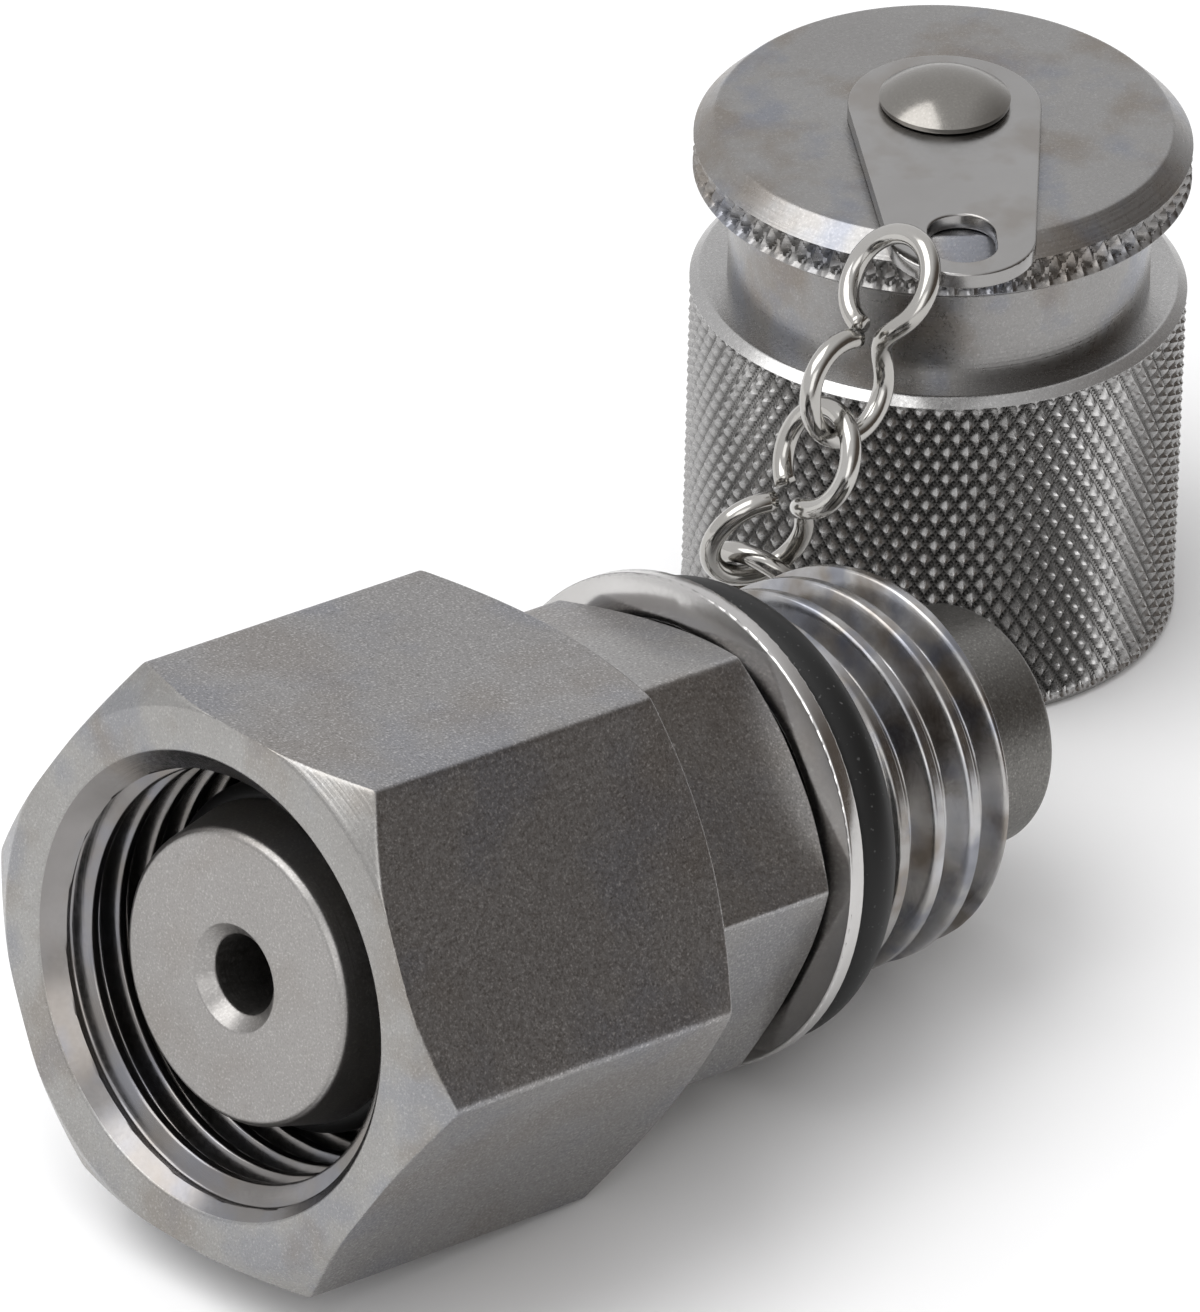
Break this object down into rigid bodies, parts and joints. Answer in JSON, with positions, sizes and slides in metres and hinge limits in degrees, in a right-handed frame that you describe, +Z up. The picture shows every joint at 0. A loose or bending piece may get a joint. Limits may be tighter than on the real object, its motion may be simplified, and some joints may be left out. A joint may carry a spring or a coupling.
{
  "type": "test point coupling",
  "caption": "Hydraulic test point coupling: hexagon swivel nut on a 24 degree cone, spring check valve, M16x2 test end, knurled cap on a chain.",
  "frame": {"origin": "centre of the bounding box on the table", "axes": "+Z up, +X along the coupling in plan, from the swivel nut towards the test end and the cap, +Y away from the viewer of the nut"},
  "size_m": [0.068, 0.0392, 0.0243],
  "materials": {
    "zinc_steel": "satin zinc plating",
    "zinc_nut": "satin zinc plating with fine grain",
    "spring_steel": "bare drawn steel",
    "bright_steel": "polished stamping",
    "bright_wire": "bright drawn wire",
    "rivet_steel": "satin",
    "cap_steel": "turned, bright zinc plating",
    "brass_bush": "turned",
    "rubber": "moulded black"
  },
  "bodies": {
    "body": {"coupling_body": "zinc_steel", "nut_retaining_wire": "spring_steel", "cone_o_ring": "rubber", "dust_o_ring": "rubber", "seat_bush": "brass_bush", "probe_seal": "rubber", "seal_retainer": "spring_steel", "valve_spring": "spring_steel"},
    "nut": {"swivel_nut": "zinc_nut"},
    "poppet": {"valve_poppet": "spring_steel", "poppet_seal": "rubber"},
    "ring": {"chain_ring": "bright_steel"},
    "link_1": {"chain_link_1": "bright_wire"},
    "link_2": {"chain_link_2": "bright_wire"},
    "link_3": {"chain_link_3": "bright_wire"},
    "link_4": {"chain_link_4": "bright_wire"},
    "link_5": {"chain_link_5": "bright_wire"},
    "link_6": {"chain_link_6": "bright_wire"},
    "tab": {"chain_tab": "bright_steel"},
    "cap": {"cap_shell": "cap_steel", "cap_rivet": "rivet_steel"}
  },
  "joints": [
    {"name": "nut_swivel", "type": "hinge", "parent": "body", "child": "nut", "pos_m": [-0.02456, -0.00685, 0.01211], "axis": [0.9907, 0, -0.1357], "continuous": true},
    {"name": "poppet_lift", "type": "slide", "parent": "body", "child": "poppet", "axis": [-0.9907, 0, 0.1357], "range_m": [0, 0.0015], "stiffness_N_per_m": 900, "springref_m": -0.003, "deforming": ["valve_spring"]},
    {"name": "ring_turn", "type": "hinge", "parent": "body", "child": "ring", "pos_m": [-0.00719, -0.00685, 0.00999], "axis": [0.9907, 0, -0.1357], "continuous": true},
    {"name": "link_6_swing", "type": "hinge", "parent": "ring", "child": "link_6", "pos_m": [-0.00736, 0.00684, 0.00868], "axis": [0.1351, 0.0958, 0.9862], "range_deg": [-3, 17.5]},
    {"name": "link_5_swing", "type": "hinge", "parent": "link_6", "child": "link_5", "pos_m": [-0.00256, 0.00685, 0.00131], "axis": [0.7689, -0.525, 0.3648], "range_deg": [-17.5, 8.8]},
    {"name": "link_4_swing", "type": "hinge", "parent": "link_5", "child": "link_4", "pos_m": [0.00496, 0.00352, 0.00254], "axis": [-0.2549, -0.5374, 0.8039], "range_deg": [-16, 17.5]},
    {"name": "link_3_swing", "type": "hinge", "parent": "link_4", "child": "link_3", "pos_m": [0.01199, 0.00072, 0.00393], "axis": [-0.3444, -0.5054, 0.7912], "range_deg": [-17.5, 0.3]},
    {"name": "link_2_swing", "type": "hinge", "parent": "link_3", "child": "link_2", "pos_m": [0.00731, 0.00442, 0.01114], "axis": [0.034, 0.9276, -0.3721], "range_deg": [-17.5, 13]},
    {"name": "link_1_swing", "type": "hinge", "parent": "link_2", "child": "link_1", "pos_m": [0.00968, 0.00083, 0.01783], "axis": [0.3352, 0.9019, 0.2724], "range_deg": [-17.5, 17.5]},
    {"name": "tab_swing", "type": "hinge", "parent": "link_1", "child": "tab", "pos_m": [0.01451, 0.00227, 0.02384], "axis": [0.0113, 0.9865, -0.1636], "range_deg": [-17.5, 2.2]},
    {"name": "tab_turn", "type": "hinge", "parent": "tab", "child": "cap", "pos_m": [0.02398, 0.00955, 0.02225], "axis": [0, 0, 1], "continuous": true}
  ]
}
